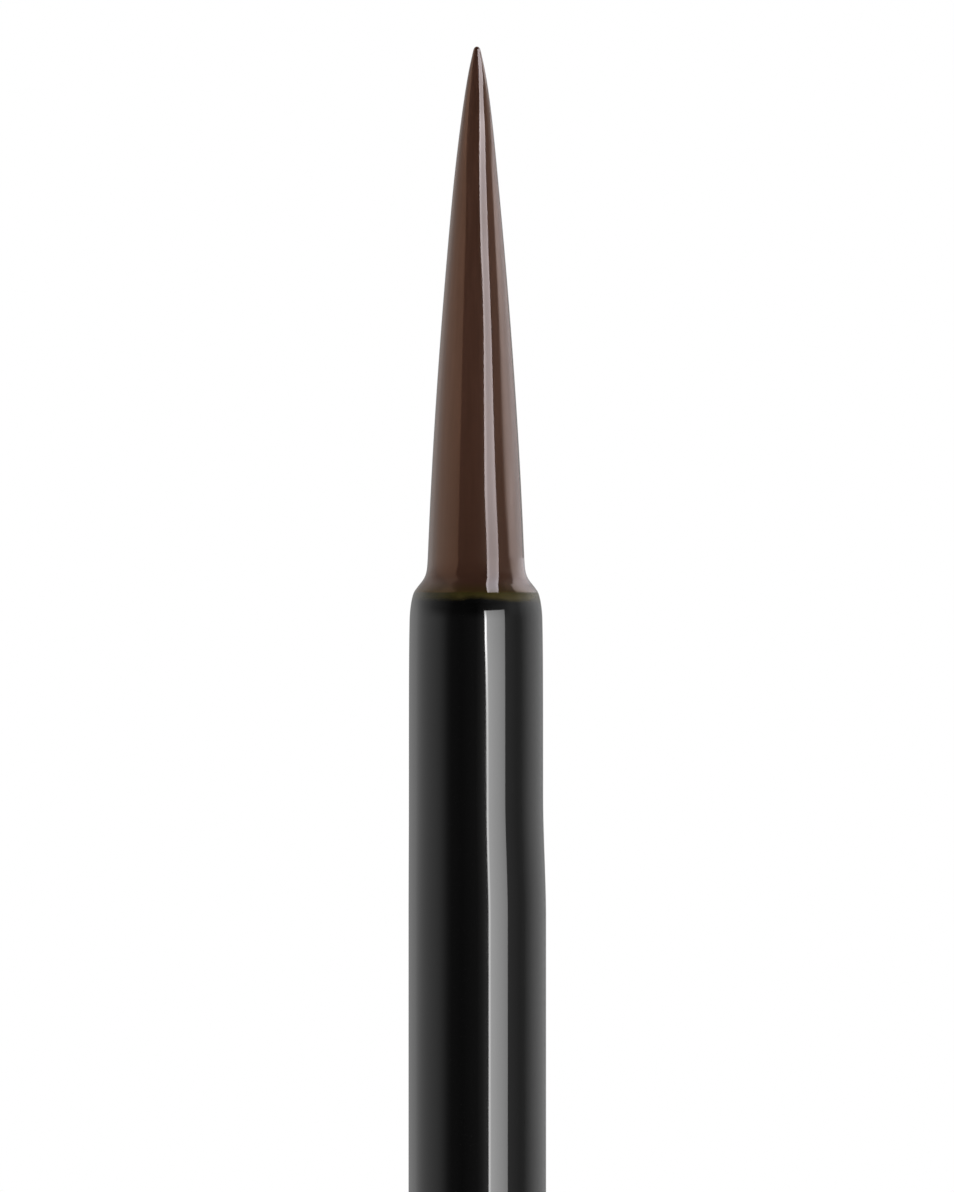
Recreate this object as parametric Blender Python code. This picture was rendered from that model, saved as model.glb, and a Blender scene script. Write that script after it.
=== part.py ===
"""Fine detail brush on a cap handle: a pointed tuft on a slim moulded stem, plugged into a hollow cap.

The brush stands on the closed end of its cap, with the tuft pointing up. The origin is the centre of
that end face and +Z runs along the common axis of all the parts. Every dimension below is in
millimetres. A name ending in Z is a height above the end face.
"""

import math

import bmesh
import bpy

MM = 0.001
GAP = 0.05  # clearance between parts that fit together

# Outer shell of the cap handle.
CAP_LENGTH = 74.0
CAP_END_RADIUS = 5.1
CAP_MOUTH_RADIUS = 5.5
CAP_END_ROUND = 0.5
CAP_MOUTH_ROUND = 0.3
CAP_BORE_RADIUS = 4.15
CAP_FLOOR_Z = 2.1
SEAT_RADIUS = 4.6
SEAT_Z = 60.0
SEAT_STEP_HEIGHT = 0.45
RECESS_RADIUS = 4.2
RECESS_DEPTH = 0.8
DISC_LOW_Z = 0.2

# Balance weight, held by crush ribs on the shell's bore.
RIB_COUNT = 6
WEIGHT_RIB_CREST = 3.9
WEIGHT_RIB_LOW_Z = CAP_FLOOR_Z + 0.6
WEIGHT_RIB_TOP_Z = 22.0
WEIGHT_RADIUS = WEIGHT_RIB_CREST - GAP
WEIGHT_LOW_Z = CAP_FLOOR_Z + GAP
WEIGHT_TOP_Z = WEIGHT_LOW_Z + 18.0
WEIGHT_CHAMFER = 0.3

# Inner cap: a snap socket for the stem, a collar, a web and a threaded mouth.
SOCKET_LOW_Z = 52.0
SOCKET_OUTER = 3.1
SOCKET_LEAD_IN = 0.3
COLLAR_RADIUS = 4.45
COLLAR_RIB_CREST = 4.57
COLLAR_LOW_Z = 60.3
INNER_TOP_Z = 73.7
WEB_TOP_Z = 63.5
THREAD_ROOT = 3.6
THREAD_DEPTH = 0.35
THREAD_PITCH = 2.0
THREAD_LOW_Z = 67.8
THREAD_TOP_Z = 73.0
THREAD_ROWS = 21

# Plug, snap barb and flange at the stem's lower end.
PLUG_RADIUS = 2.0
PLUG_LOW_Z = 54.5
SOCKET_RADIUS = PLUG_RADIUS + GAP
BARB_DEPTH = 0.22
BARB_LOW_Z = 59.9
BARB_TOP_Z = 61.2
CORE_RADIUS = 1.1
CORE_TOP_Z = 61.8
FLANGE_RADIUS = 3.0
FLANGE_LOW_Z = WEB_TOP_Z + GAP
FLANGE_TOP_Z = FLANGE_LOW_Z + 1.0
ROOT_FILLET = 0.3

# Sealing washer that lies on the flange.
WASHER_INNER = 1.95
WASHER_OUTER = 3.5
WASHER_LOW_Z = FLANGE_TOP_Z + GAP
WASHER_TOP_Z = WASHER_LOW_Z + 1.0

# Shank of the stem, which narrows twice on its way to the round shouldered mouth.
ROOT_RADIUS = 1.6
ROOT_TAPER_Z = (79.0, 84.0)
SHANK_RADIUS = 1.328
MOUTH_Z = 110.6
NECK_RADIUS = 1.30
NECK_TAPER_Z = (MOUTH_Z - 6.4, MOUTH_Z - 4.1)
NECK_TOP_Z = MOUTH_Z - 1.6
SHOULDER_RADIUS = 1.29
SHOULDER_WIDTH = 0.15
SHOULDER_DROP = 0.7

# Tuft: a bound root glued in the stem's bore, and a free length brought to a point.
TUFT_RADIUS = 0.93
TUFT_LENGTH = 10.52
TUFT_INNER_POWER = 1.15
TUFT_OUTER_POWER = 0.6
BORE_RADIUS = TUFT_RADIUS + GAP
BORE_FLOOR_Z = MOUTH_Z - 4.5
BORE_LIP = 0.12
ADHESIVE_LOW_Z = BORE_FLOOR_Z + GAP
ADHESIVE_TOP_Z = ADHESIVE_LOW_Z + 0.6
ROOT_LOW_Z = ADHESIVE_TOP_Z + GAP

FINISHES = {  # base colour, roughness, metallic
    "black_gloss": ((0.006, 0.006, 0.006), 0.12, 0.0),
    "black_satin": ((0.014, 0.014, 0.015), 0.42, 0.0),
    "plated_steel": ((0.52, 0.53, 0.55), 0.32, 1.0),
    "foam": ((0.74, 0.74, 0.71), 0.85, 0.0),
    "resin": ((0.42, 0.30, 0.16), 0.22, 0.0),
    "bristle": ((0.085, 0.045, 0.030), 0.2, 0.0),
}


def material(name):
    """The named finish as a Principled material, made on first use."""
    found = bpy.data.materials.get(name)
    if found:
        return found
    colour, roughness, metallic = FINISHES[name]
    made = bpy.data.materials.new(name)
    made.use_nodes = True
    shader = made.node_tree.nodes["Principled BSDF"]
    shader.inputs["Base Color"].default_value = (*colour, 1.0)
    shader.inputs["Roughness"].default_value = roughness
    shader.inputs["Metallic"].default_value = metallic
    made.diffuse_color = (*colour, 1.0)
    return made


def arc(centre, radii, start, end, steps):
    """Points of an elliptical arc in the (radius, height) plane, its angles in degrees."""
    points = []
    for step in range(steps + 1):
        angle = math.radians(start + (end - start) * step / steps)
        across = centre[0] + radii[0] * math.cos(angle)
        up = centre[1] + radii[1] * math.sin(angle)
        points.append((across, up))
    return points


def turned(name, outline, finish, segments, origin_z, reshape=None):
    """Turns an outline of (radius, height) points about Z into one closed solid, its origin at origin_z.

    An outline that starts on the axis also ends there. Any other outline closes on itself. The optional
    reshape function moves vertices of the turned shape, for ribs and threads.
    """
    work = bmesh.new()
    points = [work.verts.new((radius * MM, 0, height * MM)) for radius, height in outline]
    ends = list(zip(points, points[1:]))
    if outline[0][0] > 0:
        ends.append((points[-1], points[0]))
    edges = [work.edges.new(pair) for pair in ends]
    bmesh.ops.spin(
        work,
        geom=points + edges,
        cent=(0, 0, 0),
        axis=(0, 0, 1),
        angle=2 * math.pi,
        steps=segments,
        use_merge=True,
    )
    bmesh.ops.remove_doubles(work, verts=work.verts, dist=0.0001 * MM)
    if reshape:
        reshape(work)
    bmesh.ops.translate(work, verts=work.verts, vec=(0, 0, -origin_z * MM))
    bmesh.ops.recalc_face_normals(work, faces=work.faces)
    mesh = bpy.data.meshes.new(name)
    work.to_mesh(mesh)
    work.free()
    mesh.shade_smooth()
    mesh.set_sharp_from_angle(angle=math.radians(35))
    mesh.materials.append(material(finish))
    return placed(name, mesh, origin_z)


def placed(name, mesh, height):
    """A new object on the axis at a height; with no mesh it is an empty that carries other objects."""
    obj = bpy.data.objects.new(name, mesh)
    obj.location.z = height * MM
    bpy.context.scene.collection.objects.link(obj)
    return obj


def attach(obj, parent):
    """Parents an object without moving it. Neither of the two is turned or scaled."""
    obj.location -= world_place(parent)
    obj.parent = parent


def world_place(obj):
    """World location of an object that is neither turned nor scaled, and whose parents aren't either."""
    place = obj.location.copy()
    while obj.parent:
        obj = obj.parent
        place += obj.location
    return place


def set_radius(vert, radius):
    """Moves a vertex straight out from or in to the axis, to a radius in millimetres."""
    scale = radius * MM / math.hypot(vert.co.x, vert.co.y)
    vert.co.x *= scale
    vert.co.y *= scale


def on_wall(vert, radius, low, high):
    """Whether a vertex lies on the round wall of that radius, between two heights or on one of them."""
    near = abs(math.hypot(vert.co.x, vert.co.y) / MM - radius) < 0.01
    return near and low - 0.001 < vert.co.z / MM < high + 0.001


def raise_ribs(work, wall, crest, low, high):
    """Draws the wall's vertices at every sixth of a turn out or in to the crest, as crush ribs."""
    spacing = 360 / RIB_COUNT
    for vert in work.verts:
        turn = math.degrees(math.atan2(vert.co.y, vert.co.x)) % spacing
        if min(turn, spacing - turn) < 1 and on_wall(vert, wall, low, high):
            set_radius(vert, crest)


def ridge(phase):
    """Height of a trapezoid thread's ridge, from 0 to 1, at a phase of one pitch from 0 to 1."""
    return max(0.0, min(1.0, 2.2 - 6 * abs(phase - 0.5)))


def raise_thread(work):
    """Draws the inner cap's threaded wall inwards along a helix, which fades out at both ends."""
    for vert in work.verts:
        if not on_wall(vert, THREAD_ROOT, THREAD_LOW_Z, THREAD_TOP_Z):
            continue
        height = vert.co.z / MM
        turn = math.atan2(vert.co.y, vert.co.x) / (2 * math.pi)
        from_end = min(height - THREAD_LOW_Z, THREAD_TOP_Z - height)
        fade = max(0.0, min(1.0, from_end / (THREAD_PITCH / 2)))
        rise = THREAD_DEPTH * fade * ridge((height / THREAD_PITCH - turn) % 1)
        set_radius(vert, THREAD_ROOT - rise)


def cap_shell():
    """Outer shell: a slim, slightly tapered tube, closed at the end it stands on."""
    end_centre = (CAP_END_RADIUS - CAP_END_ROUND, CAP_END_ROUND)
    mouth_centre = (CAP_MOUTH_RADIUS - CAP_MOUTH_ROUND, CAP_LENGTH - CAP_MOUTH_ROUND)
    outline = [
        (0, RECESS_DEPTH),
        (RECESS_RADIUS, RECESS_DEPTH),
        (RECESS_RADIUS, 0),
        *arc(end_centre, (CAP_END_ROUND, CAP_END_ROUND), -90, 0, 5),
        *arc(mouth_centre, (CAP_MOUTH_ROUND, CAP_MOUTH_ROUND), 0, 90, 4),
        (SEAT_RADIUS + 0.2, CAP_LENGTH),
        (SEAT_RADIUS, CAP_LENGTH - 0.2),
        (SEAT_RADIUS, SEAT_Z),
        (CAP_BORE_RADIUS, SEAT_Z - SEAT_STEP_HEIGHT),
        (CAP_BORE_RADIUS, WEIGHT_RIB_TOP_Z + 1),
        (CAP_BORE_RADIUS, WEIGHT_RIB_TOP_Z),
        (CAP_BORE_RADIUS, WEIGHT_RIB_LOW_Z),
        (CAP_BORE_RADIUS, CAP_FLOOR_Z),
        (0, CAP_FLOOR_Z),
    ]

    def ribs(work):
        raise_ribs(work, CAP_BORE_RADIUS, WEIGHT_RIB_CREST, WEIGHT_RIB_LOW_Z, WEIGHT_RIB_TOP_Z)

    return turned("cap_shell", outline, "black_gloss", 48, 0, ribs)


def end_disc():
    """Trim disc glued into the recess of the closed end, where it hides the shell's gate mark."""
    radius = RECESS_RADIUS - GAP
    top = RECESS_DEPTH - GAP
    outline = [
        (0, DISC_LOW_Z),
        (radius - 0.1, DISC_LOW_Z),
        (radius, DISC_LOW_Z + 0.1),
        (radius, top),
        (0, top),
    ]
    return turned("end_disc", outline, "black_gloss", 48, DISC_LOW_Z)


def cap_weight():
    """Steel slug that balances the handle, pressed between the ribs on the shell's bore."""
    outline = [
        (0, WEIGHT_LOW_Z),
        (WEIGHT_RADIUS - WEIGHT_CHAMFER, WEIGHT_LOW_Z),
        (WEIGHT_RADIUS, WEIGHT_LOW_Z + WEIGHT_CHAMFER),
        (WEIGHT_RADIUS, WEIGHT_TOP_Z - WEIGHT_CHAMFER),
        (WEIGHT_RADIUS - WEIGHT_CHAMFER, WEIGHT_TOP_Z),
        (0, WEIGHT_TOP_Z),
    ]
    return turned("cap_weight", outline, "plated_steel", 36, WEIGHT_LOW_Z)


def inner_cap():
    """Threaded liner pressed into the shell by its collar, with a socket that holds the stem's plug."""
    thread_step = (THREAD_TOP_Z - THREAD_LOW_Z) / THREAD_ROWS
    outline = [
        (SOCKET_RADIUS + SOCKET_LEAD_IN, SOCKET_LOW_Z),
        (SOCKET_OUTER, SOCKET_LOW_Z),
        (SOCKET_OUTER, COLLAR_LOW_Z - 1.0),
        (CAP_BORE_RADIUS - 2 * GAP, COLLAR_LOW_Z),
        (COLLAR_RADIUS, COLLAR_LOW_Z + 0.6),
        (COLLAR_RADIUS, COLLAR_LOW_Z + 2.0),
        (COLLAR_RADIUS, INNER_TOP_Z - 2.0),
        (COLLAR_RADIUS, INNER_TOP_Z),
        (THREAD_ROOT + 0.25, INNER_TOP_Z),
        (THREAD_ROOT, INNER_TOP_Z - 0.3),
        *[(THREAD_ROOT, THREAD_TOP_Z - row * thread_step) for row in range(THREAD_ROWS + 1)],
        (THREAD_ROOT, WEB_TOP_Z),
        (SOCKET_RADIUS, WEB_TOP_Z),
        (SOCKET_RADIUS, BARB_TOP_Z + GAP),
        (SOCKET_RADIUS + BARB_DEPTH, BARB_TOP_Z + GAP),
        (SOCKET_RADIUS, BARB_LOW_Z),
        (SOCKET_RADIUS, SOCKET_LOW_Z + SOCKET_LEAD_IN),
    ]

    def details(work):
        raise_ribs(work, COLLAR_RADIUS, COLLAR_RIB_CREST, COLLAR_LOW_Z + 1.0, INNER_TOP_Z - 1.0)
        raise_thread(work)

    return turned("inner_cap", outline, "black_satin", 36, SOCKET_LOW_Z, details)


def seal_washer():
    """Foam washer on the stem's flange, which a bottle's rim presses on."""
    outline = [
        (WASHER_INNER, WASHER_LOW_Z),
        (WASHER_OUTER, WASHER_LOW_Z),
        (WASHER_OUTER, WASHER_TOP_Z),
        (WASHER_INNER, WASHER_TOP_Z),
    ]
    return turned("seal_washer", outline, "foam", 48, WASHER_LOW_Z)


def stem():
    """Moulded stem: a cored snap plug, a flange, a slim shank and a round shouldered mouth with a bore."""
    fillet_centre = (ROOT_RADIUS + ROOT_FILLET, FLANGE_TOP_Z + ROOT_FILLET)
    shoulder_centre = (SHOULDER_RADIUS - SHOULDER_WIDTH, MOUTH_Z - SHOULDER_DROP)
    lip_centre = (BORE_RADIUS + BORE_LIP, MOUTH_Z - BORE_LIP)
    core = [
        (0, CORE_TOP_Z),
        (CORE_RADIUS - 0.3, CORE_TOP_Z),
        (CORE_RADIUS, CORE_TOP_Z - 0.3),
        (CORE_RADIUS, PLUG_LOW_Z),
    ]
    plug = [
        (PLUG_RADIUS - 0.4, PLUG_LOW_Z),
        (PLUG_RADIUS, PLUG_LOW_Z + 0.8),
        (PLUG_RADIUS, BARB_LOW_Z),
        (PLUG_RADIUS + BARB_DEPTH, BARB_TOP_Z),
        (PLUG_RADIUS, BARB_TOP_Z),
        (PLUG_RADIUS, FLANGE_LOW_Z),
    ]
    flange = [
        (FLANGE_RADIUS, FLANGE_LOW_Z),
        (FLANGE_RADIUS, FLANGE_TOP_Z - 0.2),
        (FLANGE_RADIUS - 0.2, FLANGE_TOP_Z),
        *arc(fillet_centre, (ROOT_FILLET, ROOT_FILLET), 270, 180, 3),
    ]
    shank = [
        (ROOT_RADIUS, ROOT_TAPER_Z[0]),
        (SHANK_RADIUS, ROOT_TAPER_Z[1]),
        (SHANK_RADIUS, NECK_TAPER_Z[0]),
        (NECK_RADIUS, NECK_TAPER_Z[1]),
        (NECK_RADIUS, NECK_TOP_Z),
    ]
    mouth = [
        *arc(shoulder_centre, (SHOULDER_WIDTH, SHOULDER_DROP), 0, 90, 9),
        *arc(lip_centre, (BORE_LIP, BORE_LIP), 90, 180, 4),
        (BORE_RADIUS, BORE_FLOOR_Z),
        (0, BORE_FLOOR_Z),
    ]
    return turned("stem", core + plug + flange + shank + mouth, "black_gloss", 48, FLANGE_LOW_Z)


def root_adhesive():
    """Resin bead at the bottom of the stem's bore, which glues the tuft in."""
    outline = [
        (0, ADHESIVE_LOW_Z),
        (TUFT_RADIUS - 0.1, ADHESIVE_LOW_Z),
        (TUFT_RADIUS, ADHESIVE_LOW_Z + 0.1),
        (TUFT_RADIUS, ADHESIVE_TOP_Z),
        (0, ADHESIVE_TOP_Z - 0.15),
    ]
    return turned("root_adhesive", outline, "resin", 32, ADHESIVE_LOW_Z)


def tuft_root():
    """Bound length of the tuft, packed into the stem's bore, with a dished top under the free length."""
    dish = TUFT_RADIUS + GAP
    rim = -math.degrees(math.acos((TUFT_RADIUS - 0.03) / dish))
    outline = [
        (0, ROOT_LOW_Z),
        (TUFT_RADIUS - 0.15, ROOT_LOW_Z),
        (TUFT_RADIUS, ROOT_LOW_Z + 0.3),
        (TUFT_RADIUS, MOUTH_Z - 0.5),
        *arc((0, MOUTH_Z), (dish, dish), rim, -90, 6)[:-1],
        (0, MOUTH_Z - dish),
    ]
    return turned("tuft_root", outline, "bristle", 32, ROOT_LOW_Z)


def tuft_radius(share):
    """Radius of the pointed tuft at a share of its free length, from 0 at the tip to 1 at the stem."""
    return TUFT_RADIUS * (1 - (1 - share) ** TUFT_INNER_POWER) ** TUFT_OUTER_POWER


def bristle_tuft():
    """Free length of the tuft, brought to a point, on a ball-shaped heel centred in the stem's mouth."""
    rows = 20
    shares = [((rows - row) / rows) ** 1.8 for row in range(1, rows)]
    outline = [
        (0, MOUTH_Z - TUFT_RADIUS),
        *arc((0, MOUTH_Z), (TUFT_RADIUS, TUFT_RADIUS), -90, 0, 8)[1:],
        *[(tuft_radius(share), MOUTH_Z + TUFT_LENGTH * (1 - share)) for share in shares],
        (0, MOUTH_Z + TUFT_LENGTH),
    ]
    return turned("bristle_tuft", outline, "bristle", 32, MOUTH_Z)


def main():
    for obj in list(bpy.data.objects):
        bpy.data.objects.remove(obj, do_unlink=True)
    wand = placed("wand", None, 0)
    bend = placed("tuft_bend", None, MOUTH_Z)
    attach(bend, wand)
    fixed = (cap_shell, end_disc, cap_weight, inner_cap, seal_washer, stem, root_adhesive, tuft_root)
    for make in fixed:
        attach(make(), wand)
    attach(bristle_tuft(), bend)


main()
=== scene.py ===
"""Fine detail brush: a wet pointed tuft in a slim black stem that plugs into a screw-cap handle.

The visible pieces are turned again here at a fine pitch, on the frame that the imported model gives. The
liquid draws the filaments into a smooth pointed body and climbs down over the stem's mouth, so the tuft
and the liquid on it share one surface. It is cut into three closed pieces that meet exactly, because each
has light panels of its own. Dimensions are in millimetres unless a name or a comment says otherwise, and
heights are above the closed end of the cap.
"""

import math
import random

import bpy
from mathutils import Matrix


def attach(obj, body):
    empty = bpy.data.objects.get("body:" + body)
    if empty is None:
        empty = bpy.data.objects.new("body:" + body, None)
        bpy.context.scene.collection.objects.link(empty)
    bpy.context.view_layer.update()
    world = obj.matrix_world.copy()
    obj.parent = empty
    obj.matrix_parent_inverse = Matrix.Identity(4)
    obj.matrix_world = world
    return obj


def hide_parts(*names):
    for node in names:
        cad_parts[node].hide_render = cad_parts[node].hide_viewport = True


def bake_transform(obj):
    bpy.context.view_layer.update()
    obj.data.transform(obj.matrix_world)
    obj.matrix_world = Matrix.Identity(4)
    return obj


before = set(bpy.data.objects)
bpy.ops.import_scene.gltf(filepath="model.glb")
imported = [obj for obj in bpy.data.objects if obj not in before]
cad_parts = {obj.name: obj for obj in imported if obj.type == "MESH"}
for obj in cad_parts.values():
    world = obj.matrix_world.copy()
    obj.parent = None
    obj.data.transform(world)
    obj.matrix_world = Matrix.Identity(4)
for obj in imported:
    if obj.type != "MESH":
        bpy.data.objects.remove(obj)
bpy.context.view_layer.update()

MM = 0.001
MOUTH = 110.6  # height of the stem's mouth, where the tuft leaves it
BRUSH_SEGMENTS = 300
CAP_SEGMENTS = 180
SMALL_SEGMENTS = 160
SHARP_ANGLE = 40  # degrees
NODE_SHARP_ANGLE = 35  # degrees, for the sealed-in nodes

# Tuft. The two powers shape its long side, and the blunting its round tip.
TUFT_LENGTH = 10.52
TUFT_RADIUS = 0.9575
BELLY_POWER = 1.109
POINT_POWER = 0.595
BLUNTING = 0.193
BLUNTING_REACH = 0.068
SIDE_WAVE = 0.0103
TIP_LEAN = 0.018
LEAN_START = 7.5
LEAN_END = 10.0

# Liquid. Its levels are above the mouth, or below it if they are negative.
FOOT_TOP = 0.6
EDGE_TOP = 0.09
FILM_TOP = -0.07
FILM_END = -0.27
FILM_THICKNESS = 0.006
FILM_SUNK = 0.01
CLIMB = 0.277  # how far the liquid spreads from the tuft at its foot
CLIMB_LEVEL = 0.086
CLIMB_SPREAD = 0.087

# Stem. Its plug snaps into the liner's socket, its root is below the taper, and its shank above it.
STEM_LOW = 54.5
PLUG_RADIUS = 2.0
BARB_RADIUS = 2.22
SOCKET_RADIUS = 2.05
ROOT_RADIUS = 1.6
TAPER_LOW = 79.0
TAPER_TOP = 84.0
SHANK_RADIUS = 1.303
SHANK_OVALNESS = 0.0238
SHANK_BOW = 0.025
SHOULDER_HEIGHT = 0.6
SHOULDER_ROUNDING = 0.128
SHOULDER_FLARE = 0.0145
LIP_ROUNDING = 0.11
BORE_RADIUS = 0.98
BORE_DEPTH = 4.5

# Cap handle and the threaded liner in it.
CAP_FOOT_RADIUS = 5.1
CAP_TOP_RADIUS = 5.5
CAP_BORE = 4.15
COLLAR_RADIUS = 4.45
RIB_COUNT = 6
THREAD_ROOT = 3.6
THREAD_DEPTH = 0.35
THREAD_PITCH = 2.0
THREAD_LOW = 67.8
THREAD_TOP = 73.0

# Stage. The camera's place and the floor's radius are in metres.
CAMERA_PLACE = (0.0000195, -0.6, 0.11046)
SENSOR_WIDTH = 36.0
VIEW_HEIGHT = 23.1248  # height of what the camera sees at the brush
FLOOR_RADIUS = 2.0
FLOOR_LIFT = 0.36  # brightness that only the camera sees


# ---------------------------------------------------------------- shapes


def arc(centre, radii, start, end, steps):
    """Points of an elliptical arc in the (radius, height) plane, its angles in degrees."""
    points = []
    for step in range(steps + 1):
        angle = math.radians(start + (end - start) * step / steps)
        points.append((centre[0] + radii[0] * math.cos(angle), centre[1] + radii[1] * math.sin(angle)))
    return points


def divided(outline, longest):
    """The outline with points added, so that no step is longer than the given length."""
    points = [outline[0]]
    for a, b in zip(outline, outline[1:]):
        steps = max(1, math.ceil(math.dist(a, b) / longest))
        for step in range(1, steps + 1):
            share = step / steps
            points.append((a[0] + (b[0] - a[0]) * share, a[1] + (b[1] - a[1]) * share))
    return points


def turned(name, outline, segments, warp=None):
    """Turns an outline of (radius, height) points about Z into one closed mesh object.

    An outline that starts on the axis also ends there. Any other outline closes on itself. The optional
    warp function gives a new radius for (turn in radians, radius, height).
    """
    verts, rings = [], []
    for radius, height in outline:
        if radius < 1e-9:
            rings.append([len(verts)])
            verts.append((0.0, 0.0, height * MM))
            continue
        rings.append(list(range(len(verts), len(verts) + segments)))
        for segment in range(segments):
            angle = 2 * math.pi * segment / segments
            reach = (warp(angle, radius, height) if warp else radius) * MM
            verts.append((reach * math.cos(angle), reach * math.sin(angle), height * MM))
    pairs = list(zip(rings, rings[1:]))
    if len(rings[0]) > 1:
        pairs.append((rings[-1], rings[0]))
    faces = []
    for low, high in pairs:
        for segment in range(segments):
            after = (segment + 1) % segments
            if len(low) == 1:
                faces.append((low[0], high[after], high[segment]))
            elif len(high) == 1:
                faces.append((low[segment], low[after], high[0]))
            else:
                faces.append((low[segment], low[after], high[after], high[segment]))
    mesh = bpy.data.meshes.new(name)
    mesh.from_pydata(verts, [], faces)
    mesh.update()
    rest = mesh.attributes.new("rest", "FLOAT_VECTOR", "POINT")
    rest.data.foreach_set("vector", [1000 * value for vert in verts for value in vert])
    mesh.shade_smooth()
    mesh.set_sharp_from_angle(angle=math.radians(SHARP_ANGLE))
    obj = bpy.data.objects.new(name, mesh)
    bpy.context.scene.collection.objects.link(obj)
    return obj


def smoothstep(low, high, value):
    """A soft step from 0 to 1 between two values."""
    share = max(0.0, min(1.0, (value - low) / (high - low)))
    return share * share * (3 - 2 * share)


# ---------------------------------------------------------------- materials


class Builder:
    """Adds nodes to one material and links them, to keep the recipes below short."""

    def __init__(self, name):
        self.material = bpy.data.materials.new(name)
        self.material.use_nodes = True
        self.tree = self.material.node_tree
        self.shader = self.tree.nodes["Principled BSDF"]
        self.rest = self.node("ShaderNodeAttribute", attribute_name="rest").outputs["Vector"]

    def node(self, kind, **settings):
        made = self.tree.nodes.new(kind)
        for key, value in settings.items():
            setattr(made, key, value)
        return made

    def link(self, source, target):
        self.tree.links.new(source, target)

    def feed(self, node, **values):
        """Sets sockets by name, with a number or a link from another socket."""
        for key, value in values.items():
            socket = node.inputs[key.replace("_", " ")]
            if hasattr(value, "is_linked"):
                self.link(value, socket)
            else:
                socket.default_value = value
        return node

    def stretched(self, across, along):
        """Rest coordinates scaled separately across and along the axis, in cycles per millimetre."""
        scaled = self.node("ShaderNodeVectorMath", operation="MULTIPLY")
        self.link(self.rest, scaled.inputs[0])
        scaled.inputs[1].default_value = (across, across, along)
        return scaled.outputs["Vector"]

    def noise(self, vector, detail=3.0, rough=0.5):
        made = self.node("ShaderNodeTexNoise")
        self.feed(made, Vector=vector, Scale=1.0, Detail=detail, Roughness=rough)
        return made.outputs["Fac"]

    def ramp(self, value, stops):
        """A colour ramp over (position, colour) stops."""
        made = self.node("ShaderNodeValToRGB")
        bar = made.color_ramp
        while len(bar.elements) < len(stops):
            bar.elements.new(1.0)
        for element, (position, colour) in zip(bar.elements, stops):
            element.position = position
            element.color = (*colour, 1.0)
        self.link(value, made.inputs["Fac"])
        return made.outputs["Color"]

    def mapped(self, value, low, high, to_low, to_high):
        """A value carried from one range over to another, and held at its ends."""
        made = self.node("ShaderNodeMapRange")
        self.link(value, made.inputs["Value"])
        made.inputs["From Min"].default_value = low
        made.inputs["From Max"].default_value = high
        made.inputs["To Min"].default_value = to_low
        made.inputs["To Max"].default_value = to_high
        return made.outputs["Result"]

    def part(self, axis):
        """One of the rest coordinates, in millimetres."""
        apart = self.node("ShaderNodeSeparateXYZ")
        self.link(self.rest, apart.inputs[0])
        return apart.outputs[axis]

    def mixed(self, share, first, second):
        """A mix of two colours, of which either may come from another socket."""
        made = self.node("ShaderNodeMix", data_type="RGBA")
        self.link(share, made.inputs[0])
        for socket, value in ((made.inputs[6], first), (made.inputs[7], second)):
            if hasattr(value, "is_linked"):
                self.link(value, socket)
            else:
                socket.default_value = (*value, 1.0)
        return made.outputs[2]

    def bump(self, height, distance_um):
        """Bump of a height from 0 to 1 that stands for so many micrometres."""
        made = self.node("ShaderNodeBump")
        self.feed(made, Height=height, Strength=1.0, Distance=distance_um * 1e-6)
        self.link(made.outputs["Normal"], self.shader.inputs["Normal"])

    def finish(self, **sockets):
        """Sets the shader's sockets, with a number, a colour or a link, and gives the material."""
        for key, value in sockets.items():
            socket = self.shader.inputs[key.replace("_", " ")]
            if hasattr(value, "is_linked"):
                self.link(value, socket)
            elif isinstance(value, tuple):
                socket.default_value = (*value, 1.0)
            else:
                socket.default_value = value
        return self.material


def wet_bristle():
    """Brown liquid over fine filaments, glossy, with faint streaks that run with the filaments."""
    make = Builder("wet_bristle")
    streaks = make.noise(make.stretched(9.0, 0.25), 4.0, 0.55)
    clouds = make.noise(make.stretched(1.2, 0.35), 2.0)
    brown = make.ramp(streaks, [(0.30, (0.178, 0.081, 0.052)), (0.70, (0.230, 0.106, 0.069))])
    brown = make.mixed(make.mapped(clouds, 0.35, 0.65, 0.0, 0.6), brown, (0.191, 0.087, 0.058))
    lower = make.mapped(make.part("Z"), MOUTH + 4.0, MOUTH, 0.0, 1.0)
    brown = make.mixed(lower, brown, (0.155, 0.070, 0.044))
    foot = make.mapped(make.part("Z"), MOUTH + 0.14, MOUTH - 0.06, 0.0, 1.0)
    colour = make.mixed(foot, brown, (0.125, 0.075, 0.024))
    make.bump(make.noise(make.stretched(11.0, 0.3), 2.0), 0.25)
    gloss = make.mapped(clouds, 0.3, 0.7, 0.03, 0.05)
    return make.finish(Base_Color=colour, Roughness=gloss, IOR=1.42, Specular_Tint=(1.0, 0.82, 0.66))


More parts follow.
